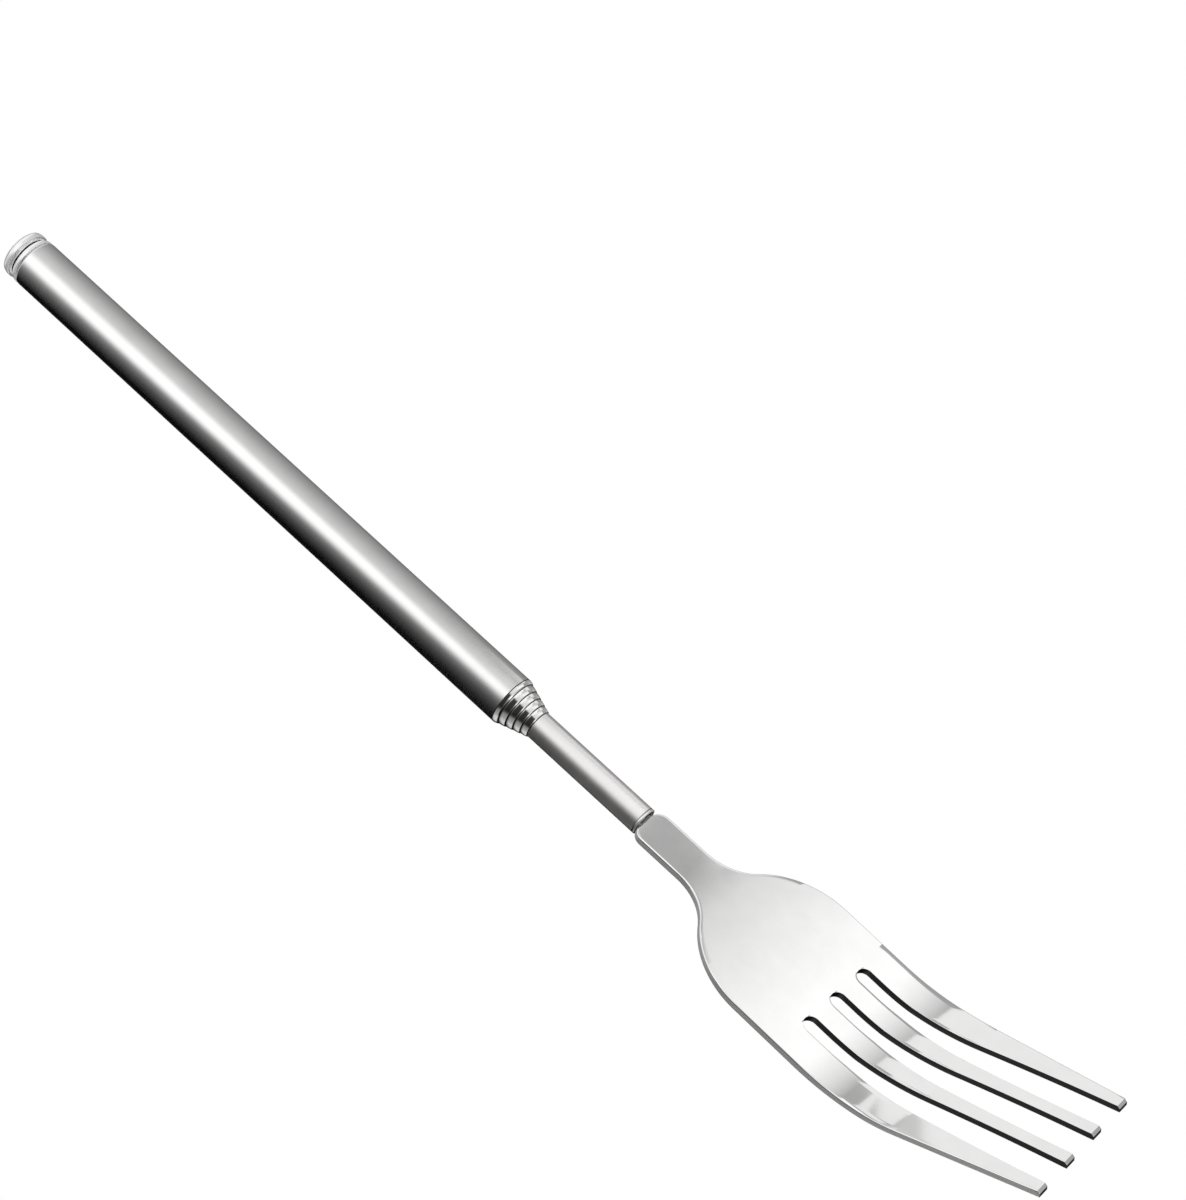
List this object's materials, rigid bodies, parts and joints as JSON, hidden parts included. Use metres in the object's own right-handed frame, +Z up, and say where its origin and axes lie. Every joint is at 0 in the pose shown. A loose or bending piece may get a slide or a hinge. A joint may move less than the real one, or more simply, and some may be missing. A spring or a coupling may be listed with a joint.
{
  "type": "telescopic table fork",
  "caption": "Pocket fork whose round steel handle is a set of nested tubes that slide and twist out of each other, with a flat fork head.",
  "frame": {"origin": "on the tubes' common axis, where the handle tube's straight outside begins at the butt", "axes": "+X along the tubes towards the tines, +Y across the head, +Z up towards the tine tips"},
  "size_m": [0.2205, 0.0288, 0.0166],
  "materials": {
    "handle_satin": "satin stainless steel, fine brushing around the tube",
    "section_steel": "satin stainless steel with a polished rounded nose",
    "slim_satin": "satin stainless steel with a bright rim",
    "cap_polish": "mirror-polished stainless steel",
    "head_steel": "tumbled and softly polished stainless sheet, fine lengthwise grain",
    "spring_brass": "thin spring brass strip",
    "plug_steel": "dark machined steel"
  },
  "bodies": {
    "handle": {"handle_tube": "handle_satin", "end_cap": "cap_polish", "cap_collar": "cap_polish"},
    "clips_2": {"clip_2_left": "spring_brass", "clip_2_right": "spring_brass"},
    "section_2": {"tube_2": "section_steel"},
    "clips_3": {"clip_3_left": "spring_brass", "clip_3_right": "spring_brass"},
    "section_3": {"tube_3": "section_steel"},
    "clips_4": {"clip_4_left": "spring_brass", "clip_4_right": "spring_brass"},
    "section_4": {"tube_4": "section_steel"},
    "clips_5": {"clip_5_left": "spring_brass", "clip_5_right": "spring_brass"},
    "section_5": {"tube_5": "section_steel"},
    "clips_6": {"clip_6_left": "spring_brass", "clip_6_right": "spring_brass"},
    "section_6": {"tube_6": "slim_satin", "fork_head": "head_steel", "tang_plug": "plug_steel"}
  },
  "joints": [
    {"name": "slide_2", "type": "slide", "parent": "handle", "child": "clips_2", "axis": [1, 0, 0], "range_m": [0, 0.0806]},
    {"name": "twist_2", "type": "hinge", "parent": "clips_2", "child": "section_2", "pos_m": [0, 0, 0], "axis": [1, 0, 0], "continuous": true},
    {"name": "slide_3", "type": "slide", "parent": "section_2", "child": "clips_3", "axis": [1, 0, 0], "range_m": [0, 0.0818]},
    {"name": "twist_3", "type": "hinge", "parent": "clips_3", "child": "section_3", "pos_m": [0, 0, 0], "axis": [1, 0, 0], "continuous": true},
    {"name": "slide_4", "type": "slide", "parent": "section_3", "child": "clips_4", "axis": [1, 0, 0], "range_m": [0, 0.083]},
    {"name": "twist_4", "type": "hinge", "parent": "clips_4", "child": "section_4", "pos_m": [0, 0, 0], "axis": [1, 0, 0], "continuous": true},
    {"name": "slide_5", "type": "slide", "parent": "section_4", "child": "clips_5", "axis": [1, 0, 0], "range_m": [0, 0.0842]},
    {"name": "twist_5", "type": "hinge", "parent": "clips_5", "child": "section_5", "pos_m": [0, 0, 0], "axis": [1, 0, 0], "continuous": true},
    {"name": "slide_6", "type": "slide", "parent": "section_5", "child": "clips_6", "axis": [1, 0, 0], "range_m": [0, 0.0854]},
    {"name": "twist_6", "type": "hinge", "parent": "clips_6", "child": "section_6", "pos_m": [0, 0, 0], "axis": [1, 0, 0], "continuous": true}
  ]
}
